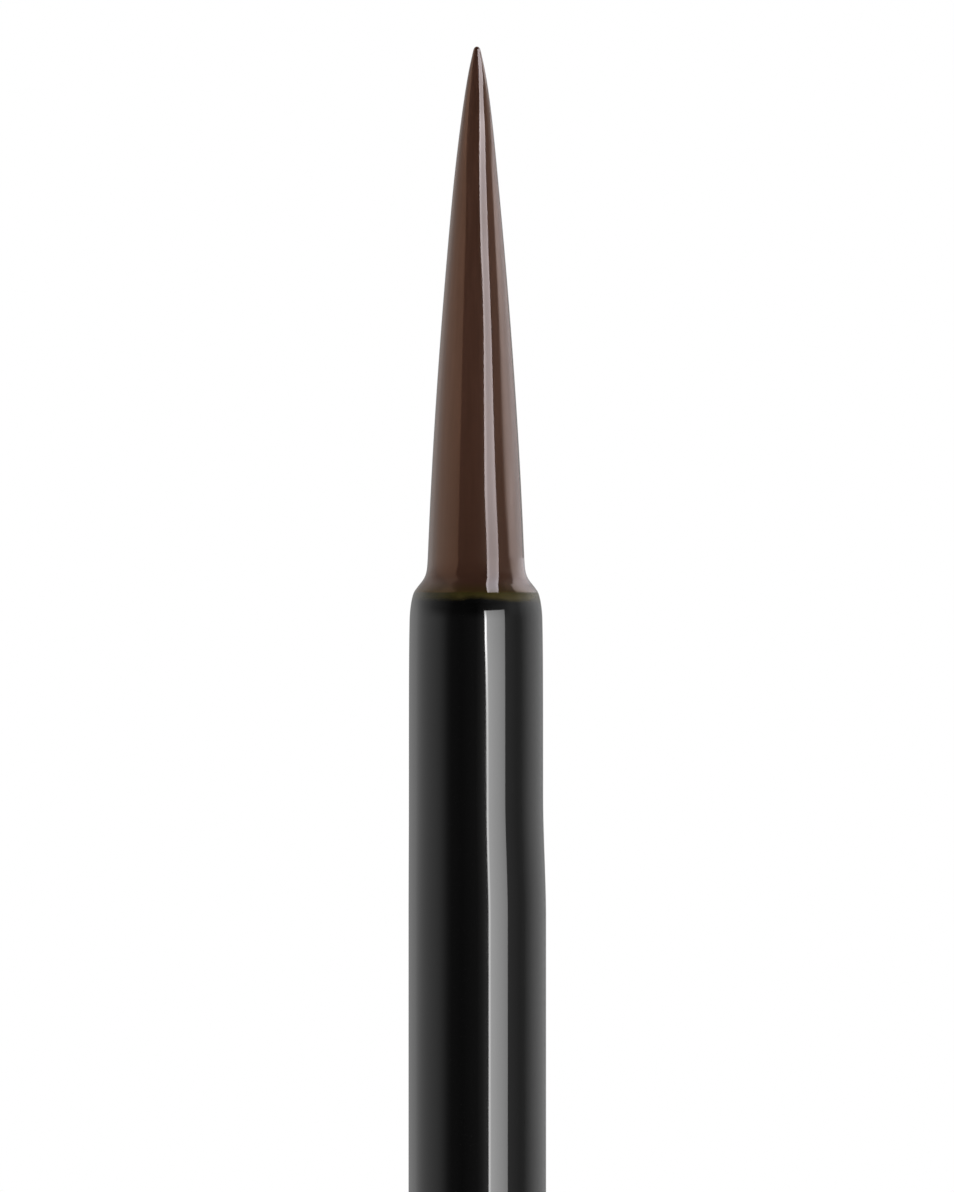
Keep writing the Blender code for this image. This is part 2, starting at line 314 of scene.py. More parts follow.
def dried_film():
    """Olive film of drying liquid on the shoulder, thinning unevenly at its lower edge, painted lighter on
    the right.
    """
    make = Builder("dried_film")
    patches = make.noise(make.stretched(2.2, 3.5), 3.0, 0.55)
    specks = make.noise(make.stretched(9.0, 12.0), 2.0)
    # Patches plus painted light: the olive gets lighter towards the right (+X), and the sum also moves the
    # film's lower edge.
    patches_and_right_light = make.node("ShaderNodeMath", operation="MULTIPLY_ADD")
    make.link(make.part("X"), patches_and_right_light.inputs[0])
    patches_and_right_light.inputs[1].default_value = 0.2
    make.link(patches, patches_and_right_light.inputs[2])
    olive = make.ramp(patches_and_right_light.outputs[0], [(0.35, (0.052, 0.041, 0.009)), (0.65, (0.078, 0.061, 0.018))])
    aside = make.node("ShaderNodeMath", operation="ABSOLUTE")
    make.link(make.part("X"), aside.inputs[0])
    lower = make.node("ShaderNodeMath", operation="ADD")
    make.link(make.mapped(aside.outputs[0], 0.1, 0.6, 0.0, 0.058), lower.inputs[0])
    make.link(make.part("Z"), lower.inputs[1])
    uneven = make.node("ShaderNodeMath", operation="MULTIPLY_ADD")
    make.link(patches_and_right_light.outputs[0], uneven.inputs[0])
    uneven.inputs[1].default_value = 0.09
    make.link(lower.outputs[0], uneven.inputs[2])
    bare = make.mapped(uneven.outputs[0], MOUTH - 0.068, MOUTH - 0.162, 0.0, 1.0)
    colour = make.mixed(bare, olive, (0.001, 0.001, 0.001))
    make.bump(specks, 0.3)
    return make.finish(Base_Color=colour, Roughness=make.mapped(patches, 0.3, 0.7, 0.10, 0.22), IOR=1.5)


def stem_plastic():
    """Polished black moulding with the faint waviness and fine drag lines of a moulded pin."""
    make = Builder("stem_plastic")
    waves = make.noise(make.stretched(1.4, 0.22), 2.0)
    fine = make.noise(make.stretched(7.0, 0.5), 3.0)
    colour = make.mixed(fine, (0.0006, 0.0006, 0.0006), (0.0012, 0.0012, 0.0012))
    make.bump(waves, 0.5)
    return make.finish(Base_Color=colour, Roughness=make.mapped(fine, 0.3, 0.7, 0.035, 0.06), IOR=1.5)


def cap_plastic():
    """Polished black handle with handling smudges and hairline scratches in its gloss."""
    make = Builder("cap_plastic")
    smudges = make.noise(make.stretched(0.16, 0.10), 3.0, 0.6)
    hairlines = make.noise(make.stretched(1.6, 14.0), 2.0)
    colour = make.mixed(smudges, (0.0028, 0.0028, 0.0030), (0.0050, 0.0050, 0.0052))
    gloss = make.mapped(smudges, 0.35, 0.75, 0.05, 0.17)
    lined = make.node("ShaderNodeMath", operation="ADD")
    make.link(gloss, lined.inputs[0])
    make.link(make.mapped(hairlines, 0.62, 0.75, 0.0, 0.06), lined.inputs[1])
    make.bump(make.noise(make.stretched(0.5, 0.3), 2.0), 1.5)
    return make.finish(Base_Color=colour, Roughness=lined.outputs[0], IOR=1.5)


def liner_plastic():
    """Satin black moulding, with the fine grain that an etched mould leaves."""
    make = Builder("liner_plastic")
    grain = make.noise(make.stretched(14.0, 14.0), 3.0, 0.6)
    clouds = make.noise(make.stretched(0.8, 0.8), 2.0)
    colour = make.mixed(clouds, (0.010, 0.010, 0.011), (0.018, 0.018, 0.018))
    make.bump(grain, 4.0)
    return make.finish(Base_Color=colour, Roughness=make.mapped(clouds, 0.3, 0.7, 0.36, 0.48), IOR=1.49)


def foam():
    """Closed-cell foam: pale, matt, with small cells of mixed size."""
    make = Builder("foam")
    cells = make.node("ShaderNodeTexVoronoi", feature="F1")
    make.feed(cells, Vector=make.stretched(9.0, 9.0), Scale=1.0, Randomness=1.0)
    colour = make.ramp(cells.outputs["Distance"], [(0.1, (0.50, 0.50, 0.47)), (0.6, (0.74, 0.74, 0.71))])
    make.bump(cells.outputs["Distance"], 25.0)
    return make.finish(Base_Color=colour, Roughness=0.85, IOR=1.45)


def plated_steel():
    """Zinc-plated bar stock, with turning marks round it."""
    make = Builder("plated_steel")
    rings = make.noise(make.stretched(0.4, 22.0), 3.0)
    colour = make.ramp(rings, [(0.3, (0.42, 0.43, 0.45)), (0.7, (0.58, 0.59, 0.60))])
    make.bump(rings, 2.0)
    return make.finish(Base_Color=colour, Metallic=1.0, Roughness=make.mapped(rings, 0.3, 0.7, 0.25, 0.42))


def resin():
    """Amber glue bead with small bubbles."""
    make = Builder("resin")
    bubbles = make.node("ShaderNodeTexVoronoi", feature="F1")
    make.feed(bubbles, Vector=make.stretched(12.0, 12.0), Scale=1.0)
    colour = make.ramp(bubbles.outputs["Distance"], [(0.05, (0.55, 0.42, 0.25)), (0.35, (0.36, 0.24, 0.11))])
    make.bump(bubbles.outputs["Distance"], 3.0)
    return make.finish(Base_Color=colour, Roughness=0.2, IOR=1.52)


def dry_bristle():
    """Packed filament ends and sides, tinted by the liquid that soaks into them."""
    make = Builder("dry_bristle")
    streaks = make.noise(make.stretched(9.0, 0.3), 4.0, 0.6)
    colour = make.ramp(streaks, [(0.3, (0.045, 0.022, 0.014)), (0.7, (0.11, 0.055, 0.034))])
    make.bump(streaks, 8.0)
    return make.finish(Base_Color=colour, Roughness=make.mapped(streaks, 0.3, 0.7, 0.30, 0.5), IOR=1.5)


MATERIALS = {
    "cap_plastic": cap_plastic(),
    "stem_plastic": stem_plastic(),
    "liner_plastic": liner_plastic(),
    "plated_steel": plated_steel(),
    "foam": foam(),
    "resin": resin(),
    "bristle": dry_bristle(),
}


def dress(obj, finish):
    """Gives an object one material."""
    obj.data.materials.clear()
    obj.data.materials.append(finish)


# ---------------------------------------------------------------- tuft and liquid


def tuft_radius(share):
    """Radius of the wet tuft at a share of its length, from 0 at the tip to 1 at the mouth."""
    pointed = TUFT_RADIUS * (1 - (1 - share) ** BELLY_POWER) ** POINT_POWER
    below_tip = share * TUFT_LENGTH
    blunting = BLUNTING * math.sqrt(below_tip) * math.exp(-below_tip / BLUNTING_REACH)
    return pointed + blunting - SIDE_WAVE * math.sin(2 * math.pi * share)


def shoulder_radius(depth):
    """Radius of the stem at a depth below its mouth: the round shoulder and the shank's slight flare."""
    share = (SHOULDER_HEIGHT - depth) / SHOULDER_HEIGHT
    flare = SHOULDER_FLARE * math.exp(share)
    rounding = SHOULDER_ROUNDING * (1 - math.sqrt(1 - max(0.0, share) ** 2))
    return SHANK_RADIUS - flare - rounding


def film_radius(above):
    """Outer radius of the film on the shoulder, at a height above the mouth, which is negative there."""
    clearance = 0.0006
    lip_fall = 2.0 * max(0.0, above)
    film = FILM_THICKNESS * smoothstep(FILM_END, 0.0, above)
    return shoulder_radius(max(0.0, -above)) + clearance + film - lip_fall


def meniscus_radius(above):
    """Radius of the tuft with the liquid that climbs down from it towards the edge of the mouth."""
    climb = CLIMB / (1 + math.exp((above - CLIMB_LEVEL) / CLIMB_SPREAD))
    return tuft_radius(min(1.0, 1 - above / TUFT_LENGTH)) + climb


def wetted_radius(above):
    """Radius of the wet surface at a height above the mouth, with the turn at the mouth's edge rounded.

    The rounding is a weighted mean over a short stretch of heights.
    """
    if above > 1.5:
        return tuft_radius(1 - above / TUFT_LENGTH)
    total = weights = 0.0
    for place in range(-8, 9):
        weight = math.exp(-0.5 * (place / 3) ** 2)
        level = above + 0.008 * place
        total += weight * max(meniscus_radius(level), film_radius(level))
        weights += weight
    return total / weights


def filament_relief():
    """A function that gives the wet surface's ripple over the filaments, as a share of its radius."""
    dice = random.Random(7)
    waves = []
    for _ in range(14):
        count = dice.randint(17, 46)
        waves.append((count, dice.uniform(0, 6.28), dice.uniform(-0.25, 0.25), 0.006 / count))
    for count in (2, 3, 4, 5):
        waves.append((count, dice.uniform(0, 6.28), dice.uniform(-0.2, 0.2), 0.004 / count))

    def relief(angle, height):
        along = height - MOUTH
        ripple = 0.0
        for count, phase, drift, size in waves:
            ripple += size * math.sin(count * angle + phase + drift * along)
        return ripple

    return relief


def wet_piece(name, core, heights, tip, finish):
    """One piece of the wet surface, over a core outline and through the given heights above the mouth."""
    relief = filament_relief()
    sides = [(wetted_radius(above), above) for above in heights]
    outline = [(radius, MOUTH + above) for radius, above in core + sides + [(0, tip)]]

    def warp(angle, radius, height):
        calm = smoothstep(MOUTH + 0.02, MOUTH + 0.8, height)
        return radius * (1 + calm * relief(angle, height))

    obj = turned(name, outline, BRUSH_SEGMENTS, warp)
    for vert in obj.data.vertices:
        vert.co.x += TIP_LEAN * MM * smoothstep(LEAN_START, LEAN_END, vert.co.z / MM - MOUTH)
    dress(obj, finish)
    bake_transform(obj)
    return obj


def wet_tuft():
    """The tuft's free length, its foot in the liquid, and the liquid's turn over the mouth's edge."""

    def rows(low, high):
        count = round((high - low) / 0.01)
        return [low + (high - low) * row / count for row in range(count + 1)]

    # The rows of the body get closer together towards the tip. The plug closes the edge piece from below,
    # inside the bore and across the mouth.
    finish = wet_bristle()
    body = [FOOT_TOP + (TUFT_LENGTH - FOOT_TOP) * (1 - (1 - row / 150) ** 1.9) for row in range(150)]
    plug = divided([(0, -0.85), (0.88, -0.85), (0.92, -0.75), (0.92, -0.01), (1.12, -0.01)], 0.2)
    plug += [(shoulder_radius(-FILM_TOP) - FILM_SUNK, FILM_TOP)]
    tuft = wet_piece("wet_tuft", [(0, FOOT_TOP)], body, TUFT_LENGTH, finish)
    foot = wet_piece("wet_foot", [(0, EDGE_TOP)], rows(EDGE_TOP, FOOT_TOP), FOOT_TOP, finish)
    edge = wet_piece("wet_edge", plug, rows(FILM_TOP, EDGE_TOP), EDGE_TOP, finish)
    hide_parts("bristle_tuft")
    return tuft, foot, edge


def rim_film():
    """Drying film on the shoulder, below the wet foot of the tuft."""
    levels = [FILM_END + (FILM_TOP - FILM_END) * row / 20 for row in range(21)]
    outer = [(wetted_radius(above), MOUTH + above) for above in levels]
    inner = [(shoulder_radius(-above) - FILM_SUNK, MOUTH + above) for above in reversed(levels)]
    obj = turned("rim_film", outer + inner, BRUSH_SEGMENTS)
    dress(obj, dried_film())
    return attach(obj, "wand")


# ---------------------------------------------------------------- stem


def stem():
    """Stem with its snap plug, flange, tapered root, slim shank and round shouldered mouth.

    The lower shank is slightly oval and bowed, as a thin moulding gets while it cools.
    """
    lip_centre = (BORE_RADIUS + LIP_ROUNDING, MOUTH - LIP_ROUNDING)
    lip = arc(lip_centre, (LIP_ROUNDING, LIP_ROUNDING), 90, 180, 8)
    depths = [0.7 - 0.7 * row / 60 for row in range(61)]
    shoulder = [(shoulder_radius(depth), MOUTH - depth) for depth in depths]
    outline = [
        (0, 61.8),
        (0.8, 61.8),
        (1.1, 61.5),
        (1.1, STEM_LOW),
        (1.6, STEM_LOW),
        (PLUG_RADIUS, STEM_LOW + 0.8),
        (PLUG_RADIUS, 59.9),
        (BARB_RADIUS, 61.2),
        (PLUG_RADIUS, 61.2),
        (PLUG_RADIUS, 63.55),
        *arc((2.9, 63.65), (0.1, 0.1), -90, 0, 4),
        *arc((2.8, 64.35), (0.2, 0.2), 0, 90, 5),
        *arc((1.9, 64.85), (0.3, 0.3), 270, 180, 8),
    ]
    run = [(ROOT_RADIUS, 66.0 + step) for step in range(14)]
    for step in range(1, 40):
        height = TAPER_LOW + 0.125 * step
        slimmed = (ROOT_RADIUS - SHANK_RADIUS) * smoothstep(TAPER_LOW, TAPER_TOP, height)
        run.append((ROOT_RADIUS - slimmed, height))
    run += [(SHANK_RADIUS, TAPER_TOP + step) for step in range(20)]
    for step in range(58):
        depth = 6.5 - 0.1 * step
        run.append((shoulder_radius(depth), MOUTH - depth))
    outline += run + shoulder + lip + [(BORE_RADIUS, MOUTH - BORE_DEPTH), (0, MOUTH - BORE_DEPTH)]
    obj = turned("stem_moulding", outline, BRUSH_SEGMENTS)
    for vert in obj.data.vertices:
        height = vert.co.z / MM
        slack = smoothstep(TAPER_LOW, TAPER_TOP, height) * smoothstep(MOUTH - 4.0, MOUTH - 6.4, height)
        vert.co.x = vert.co.x * (1 + SHANK_OVALNESS * slack) + SHANK_BOW * MM * slack
    dress(obj, MATERIALS["stem_plastic"])
    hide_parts("stem")
    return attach(obj, "wand")


# ---------------------------------------------------------------- cap handle


def ribbed(wall, crest, low, high, inner=None):
    """A warp function that draws narrow crush ribs on a wall, over whatever the inner warp gives."""
    spacing = 360 / RIB_COUNT

    def warp(angle, radius, height):
        if inner:
            radius = inner(angle, radius, height)
        if abs(radius - wall) < 0.01 and low <= height <= high:
            off = math.degrees(angle) % spacing
            rise = 1 - smoothstep(1.5, 5.0, min(off, spacing - off))
            ends = smoothstep(low, low + 0.5, height) * (1 - smoothstep(high - 0.5, high, height))
            radius += (crest - wall) * rise * ends
        return radius

    return warp


def cap_shell():
    """Outer shell of the handle, slightly tapered, with rounded ends."""
    outline = [
        (0, 0.8),
        (4.2, 0.8),
        *arc((4.25, 0.05), (0.05, 0.05), 180, 270, 3),
        *arc((CAP_FOOT_RADIUS - 0.5, 0.5), (0.5, 0.5), -90, 0, 12),
        *divided([(CAP_FOOT_RADIUS, 0.5), (CAP_TOP_RADIUS, 73.7)], 2.0)[1:-1],
        *arc((CAP_TOP_RADIUS - 0.3, 73.7), (0.3, 0.3), 0, 90, 10),
        *arc((4.8, 73.8), (0.2, 0.2), 90, 180, 6),
        *divided([(4.6, 73.6), (4.6, 60.0)], 1.0)[1:],
        (CAP_BORE, 59.55),
        *divided([(CAP_BORE, 22.0), (CAP_BORE, 2.1)], 0.5),
        (0, 2.1),
    ]
    obj = turned("cap_handle", outline, CAP_SEGMENTS, ribbed(CAP_BORE, 3.9, 2.4, 22.0))
    dress(obj, MATERIALS["cap_plastic"])
    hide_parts("cap_shell")
    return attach(obj, "wand")


def end_disc():
    """Trim disc in the closed end, slightly dished."""
    outline = [
        (0, 0.26),
        (2.0, 0.245),
        (3.6, 0.205),
        (3.95, 0.2),
        *arc((4.03, 0.32), (0.12, 0.12), -90, 0, 6),
        (4.15, 0.75),
        (0, 0.75),
    ]
    obj = turned("end_trim", outline, SMALL_SEGMENTS)
    dress(obj, MATERIALS["cap_plastic"])
    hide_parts("end_disc")
    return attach(obj, "wand")


def thread_warp(angle, radius, height):
    """Right-hand trapezoid thread on the liner's inner wall, fading out at both ends."""
    if abs(radius - THREAD_ROOT) > 0.005 or not THREAD_LOW <= height <= THREAD_TOP:
        return radius
    phase = (height / THREAD_PITCH - angle / (2 * math.pi)) % 1
    ridge = smoothstep(0.0, 1.0, 2.2 - 6 * abs(phase - 0.5))
    fade = smoothstep(0.0, 1.0, min(height - THREAD_LOW, THREAD_TOP - height))
    return radius - THREAD_DEPTH * ridge * fade


def liner():
    """Threaded liner with its collar, web and snap socket."""
    outline = [
        (2.35, 52.0),
        (3.1, 52.0),
        (3.1, 59.3),
        (4.05, 60.3),
        (COLLAR_RADIUS, 60.9),
        *divided([(COLLAR_RADIUS, 61.3), (COLLAR_RADIUS, 73.45)], 0.5),
        *arc((4.3, 73.55), (0.15, 0.15), 0, 90, 5),
        *arc((3.75, 73.55), (0.15, 0.15), 90, 180, 5),
        *divided([(THREAD_ROOT, 73.1), (THREAD_ROOT, 67.7)], 0.08),
        (THREAD_ROOT, 63.7),
        (3.5, 63.5),
        (SOCKET_RADIUS, 63.5),
        (SOCKET_RADIUS, 61.25),
        (BARB_RADIUS + 0.05, 61.25),
        (SOCKET_RADIUS, 59.9),
        (SOCKET_RADIUS, 52.3),
    ]
    obj = turned("liner", outline, CAP_SEGMENTS, ribbed(COLLAR_RADIUS, 4.57, 61.3, 72.7, thread_warp))
    dress(obj, MATERIALS["liner_plastic"])
    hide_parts("inner_cap")
    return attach(obj, "wand")


def washer():
    """Foam washer with soft punched edges."""
    outline = [
        *arc((2.05, 64.7), (0.1, 0.1), 180, 270, 4),
        *arc((3.4, 64.7), (0.1, 0.1), 270, 360, 4),
        *arc((3.38, 65.48), (0.12, 0.12), 0, 90, 5),
        *arc((2.07, 65.48), (0.12, 0.12), 90, 180, 5),
    ]
    obj = turned("foam_washer", outline, SMALL_SEGMENTS)
    dress(obj, MATERIALS["foam"])
    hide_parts("seal_washer")
    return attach(obj, "wand")


def inner_parts():
    """The sealed-in nodes keep their CAD shape and take a finish."""
    for name, slot in (("cap_weight", "plated_steel"), ("root_adhesive", "resin"), ("tuft_root", "bristle")):
        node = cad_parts[name]
        rest = node.data.attributes.new("rest", "FLOAT_VECTOR", "POINT")
        rest.data.foreach_set("vector", [1000 * value for vert in node.data.vertices for value in vert.co])
        node.data.shade_smooth()
        node.data.set_sharp_from_angle(angle=math.radians(NODE_SHARP_ANGLE))
        dress(node, MATERIALS[slot])


# ---------------------------------------------------------------- stage


def direction(azimuth, elevation):
    """Unit vector towards an azimuth and an elevation in degrees. Azimuths run from -Y towards +X."""
    turn, rise = math.radians(azimuth), math.radians(elevation)
    return (math.sin(turn) * math.cos(rise), -math.cos(turn) * math.cos(rise), math.sin(rise))


def card(name, levels, rows, colour, only=(), never=(), lights_matt=False, reach=1.0):
    """A curved light panel round the object, seen in its reflections and not by the camera.

    The levels give the brightness across it, from left to right. Each row is the azimuth and elevation
    of its left end, those of its right end, and its brightness. The panel may light only some objects, or
    all but some, and it adds to the light on matt surfaces only if asked. Two panels with the same outline
    need a different reach, in metres, because light is lost where panels coincide.
    """
    centre = (0.0, 0.0, MOUTH * MM)
    columns = len(levels) - 1
    verts, values, faces = [], [], []
    for left, left_rise, right, right_rise, gain in rows:
        for column, level in enumerate(levels):
            share = column / columns
            aim = direction(left + (right - left) * share, left_rise + (right_rise - left_rise) * share)
            verts.append(tuple(start + reach * along for start, along in zip(centre, aim)))
            values.append(gain * level)
    for row in range(len(rows) - 1):
        for column in range(columns):
            corner = row * (columns + 1) + column
            faces.append((corner, corner + 1, corner + columns + 2, corner + columns + 1))
    mesh = bpy.data.meshes.new(name)
    mesh.from_pydata(verts, [], faces)
    mesh.update()
    level = mesh.attributes.new("level", "FLOAT", "POINT")
    level.data.foreach_set("value", values)
    glow = bpy.data.materials.new(name)
    glow.use_nodes = True
    tree = glow.node_tree
    tree.nodes.clear()
    source = tree.nodes.new("ShaderNodeAttribute")
    source.attribute_name = "level"
    emission = tree.nodes.new("ShaderNodeEmission")
    strength = max(colour)
    emission.inputs["Color"].default_value = (*[part / strength for part in colour], 1.0)
    scaled = tree.nodes.new("ShaderNodeMath")
    scaled.operation = "MULTIPLY"
    scaled.inputs[1].default_value = strength
    clear = tree.nodes.new("ShaderNodeBsdfTransparent")
    both = tree.nodes.new("ShaderNodeAddShader")
    output = tree.nodes.new("ShaderNodeOutputMaterial")
    tree.links.new(source.outputs["Fac"], scaled.inputs[0])
    tree.links.new(scaled.outputs[0], emission.inputs["Strength"])
    tree.links.new(emission.outputs[0], both.inputs[0])
    tree.links.new(clear.outputs[0], both.inputs[1])
    tree.links.new(both.outputs[0], output.inputs["Surface"])
    mesh.materials.append(glow)
    obj = bpy.data.objects.new(name, mesh)
    bpy.context.scene.collection.objects.link(obj)
    obj.visible_camera = False
    obj.visible_shadow = False
    obj.visible_diffuse = lights_matt
    if only or never:
        receivers = bpy.data.collections.new(name)
        for index, other in enumerate(only or never):
            receivers.objects.link(other)
            receivers.collection_objects[index].light_linking.link_state = "INCLUDE" if only else "EXCLUDE"
        obj.light_linking.receiver_collection = receivers


def front_lights(liquid):
    """Strip box in front with a bright left edge, which the liquid doesn't catch."""
    left = [(18.8, -40), (18.7, -0.8), (18.0, -0.3), (16.8, 0.2), (15.2, 1.3), (14.4, 11.0)]
    gains = [1.0, 1.0, 1.0, 1.0, 0.95, 0.8]
    box = [(azimuth, rise, 51.4, rise, gain) for (azimuth, rise), gain in zip(left, gains)]
    across = [1.0, 0.92, 0.83, 0.75, 0.68, 0.60, 0.50]
    card("strip_box", across, box, (8.0, 8.0, 8.0), never=liquid, lights_matt=True)
    glints = [0.28, 0.27, 0.34, 0.65, 1.25, 0.2]
    glint = [(azimuth, rise, azimuth + 3.4, rise, gain) for (azimuth, rise), gain in zip(left, glints)]
    card("strip_glint", [1.0, 1.0, 0.7], glint, (16.0, 16.0, 16.0), never=liquid)


def liquid_strips(tuft, foot, edge):
    """Narrow pinkish strips in front, one for each piece of the liquid, for its straight highlight."""
    tuft_rows = [
        (25.8, -40, 55.5, -40, 0.85),
        (24.8, 4.8, 55.0, 4.3, 0.83),
        (21.0, 5.8, 50.8, 5.3, 0.97),
        (20.5, 6.6, 48.8, 6.1, 1.04),
        (21.8, 8.3, 48.4, 7.7, 1.02),
        (23.4, 9.1, 49.2, 8.4, 1.02),
        (23.0, 9.9, 49.6, 9.2, 1.04),
        (18.4, 10.8, 48.2, 10.0, 1.12),
        (17.2, 11.6, 50.8, 10.6, 1.02),
        (17.2, 12.3, 53.0, 11.2, 1.15),
        (18.4, 13.6, 59.5, 12.0, 1.38),
        (20.0, 14.9, 62.2, 13.0, 1.57),
        (21.5, 16.4, 62.0, 14.3, 1.26),
        (24.0, 19.6, 75.0, 16.5, 1.16),
        (26.0, 23.0, 95.0, 20.0, 1.25),
        (30.0, 45.0, 110.0, 40.0, 1.20),
    ]
    foot_rows = [
        (24.8, 2.0, 54.8, 1.8, 0.88),
        (25.6, 9.5, 54.8, 8.6, 0.90),
        (26.3, 20.7, 55.2, 18.8, 0.92),
        (27.8, 32.8, 57.3, 29.7, 0.92),
        (30.2, 43.4, 60.8, 39.0, 0.90),
        (34.2, 54.6, 66.6, 48.7, 0.88),
        (40.4, 64.6, 75.2, 56.7, 0.86),
        (48.5, 71.4, 83.9, 61.7, 0.86),
        (56.0, 76.0, 91.0, 65.5, 0.86),
    ]
    edge_rows = [
        (25.0, 42.0, 49.0, 39.0, 0.78),
        (27.7, 51.8, 53.8, 48.0, 0.80),
        (32.2, 60.9, 61.5, 55.6, 0.82),
        (38.4, 67.8, 70.7, 60.9, 0.84),
        (42.8, 70.5, 76.7, 62.4, 0.86),
        (47.8, 72.9, 83.3, 63.6, 0.86),
        (56.0, 76.0, 90.0, 66.0, 0.86),
    ]
    across = [1.5, 1.35, 1.0, 0.96, 0.95, 0.95, 1.0, 1.15, 1.25]
    strips = (("tuft", tuft_rows, tuft), ("foot", foot_rows, foot), ("edge", edge_rows, edge))
    for name, rows, piece in strips:
        card(name + "_strip", across, rows, (8.9, 9.7, 12.2), only=(piece,))


def right_panels(tuft, foot, edge):
    """Wide pale panels to the right, one for each piece of the liquid."""
    tuft_right = [
        (85, -30, 157, -30, 0.75),
        (84, 3.1, 157, 3.1, 0.82),
        (82, 3.8, 157, 3.8, 1.08),
        (77, 4.4, 157, 4.2, 1.0),
        (74, 5.7, 157, 4.7, 1.0),
        (75, 6.6, 157, 5.1, 1.0),
        (79, 7.6, 157, 5.5, 1.15),
        (84, 8.6, 157, 5.9, 1.12),
        (87, 8.9, 157, 6.2, 0.0),
        (111, 9.2, 158, 7.4, 0.0),
        (114, 10.2, 160, 9.6, 0.7),
        (108, 12, 160, 12, 0.95),
        (102, 18, 162, 18, 0.85),
        (98, 27, 165, 27, 0.9),
        (118, 46, 170, 46, 0.8),
    ]
    foot_right = [
        (83, -30, 172, -30, 0.95),
        (85, 4.4, 172, 4.4, 1.0),
        (87, 7.3, 172, 7.3, 1.05),
        (90, 17, 172, 17, 1.1),
        (96, 29, 173, 29, 1.28),
        (108, 41, 176, 41, 1.3),
        (115, 47, 177, 47, 1.35),
        (124, 58, 178, 58, 0.9),
    ]
    edge_right = [
        (84, -30, 172, -30, 1.0),
        (84, 26, 172, 26, 1.1),
        (92, 36, 173, 36, 1.15),
        (104, 48, 174, 48, 1.15),
        (115, 52, 175, 52, 1.15),
        (126, 60, 176, 60, 0.8),
    ]
    rights = (
        (tuft, tuft_right, [0.0, 1.0, 1.0, 0.85, 0.6, 0.42, 0.33, 0.22, 0.1, 0.0]),
        (foot, foot_right, [0.0, 0.6, 0.63, 0.65, 0.52, 0.44, 0.38, 0.26, 0.13, 0.0]),
        (edge, edge_right, [0.0, 0.6, 0.7, 0.77, 0.72, 0.62, 0.45, 0.22, 0.08, 0.0]),
    )
    for piece, rows, across in rights:
        card(piece.name + "_right", across, rows, (3.2, 3.0, 3.25), only=(piece,))


def left_panels(tuft, foot, edge):
    """Warm panels to the left, one for the tuft and one for the liquid at its foot."""
    tuft_left = [
        (-120, -30, -44, -30, 0.7),
        (-120, 3, -44, 3, 0.8),
        (-118, 4.5, -43, 4.5, 0.83),
        (-116, 6, -42, 6, 0.92),
        (-114, 7, -42, 7, 1.0),
        (-109, 10, -44, 10, 1.05),
        (-110, 11.2, -52, 11.2, 1.1),
        (-115, 12.4, -62, 12.4, 1.18),
        (-120, 14, -68, 14, 1.2),
        (-125, 18, -72, 18, 1.1),
        (-125, 45, -78, 45, 0.8),
    ]
    foot_left = [
        (-120, -30, -44, -30, 0.7),
        (-120, 3, -44, 3, 0.8),
        (-118, 4.5, -43, 4.5, 0.83),
        (-114, 7, -42, 7, 0.95),
        (-108, 16, -48, 16, 0.9),
        (-106, 38, -52, 38, 0.62),
        (-104, 62, -60, 62, 0.55),
    ]
    across = [0.0, 0.42, 0.66, 0.84, 0.95, 1.0]
    card("tuft_left", across, tuft_left, (1.25, 0.85, 0.67), only=(tuft,))
    card("foot_left", across, foot_left, (1.25, 0.85, 0.67), only=(foot, edge), reach=1.02)


def rear_light():
    """Low strip behind, which gives the back of the brush a highlight and stays out of the front."""
    rows = [(174, -75, 192, -75, 1.0), (174, -12, 192, -12, 1.0), (174, -5, 192, -5, 0.0)]
    card("rear_strip", [1.0, 0.9, 0.8, 0.7, 0.6], rows, (8.0, 8.0, 8.0))


# Brightness of the studio tent round the horizon, as (azimuth, level) stops at four elevations.
LOW_BAND = [
    (-180, 0.25), (-161, 0.44), (-145, 0.80), (-127, 1.22), (-115, 1.12), (-93, 0.88),
    (-74, 0.69), (-66, 0.57), (-58, 0.38), (-50, 0.18), (-43, 0.10), (-25, 0.07),
    (0, 0.12), (8, 0.24), (14, 0.45), (54, 0.55), (65, 0.43), (75, 0.33),
    (84, 0.35), (92, 0.60), (103, 0.90), (114, 1.03), (128, 0.98), (146, 0.75),
    (160, 0.45), (180, 0.25),
]
MID_BAND = [
    (-180, 0.25), (-151, 0.62), (-131, 0.90), (-117, 0.90), (-104, 0.75), (-93, 0.60),
    (-84, 0.44), (-75, 0.33), (-58, 0.16), (-42, 0.05), (0, 0.03), (12, 0.10),
    (31, 0.20), (50, 0.30), (66, 0.48), (80, 0.44), (92, 0.78), (104, 1.03),
    (120, 1.12), (132, 1.05), (150, 0.65), (180, 0.25),
]
HIGH_BAND = [
    (-180, 0.35), (-153, 0.52), (-137, 0.80), (-118, 0.68), (-101, 0.48), (-84, 0.36),
    (-66, 0.20), (-50, 0.08), (-40, 0.02), (50, 0.03), (70, 0.16), (88, 0.22),
    (102, 0.42), (125, 0.60), (150, 0.50), (180, 0.35),
]
TOP_BAND = [
    (-180, 1.20), (-130, 1.00), (-110, 0.20), (-90, 0.03), (90, 0.03), (110, 0.20),
    (130, 1.00), (180, 1.20),
]
BAND_TOP = 2.0  # level that fills a ramp


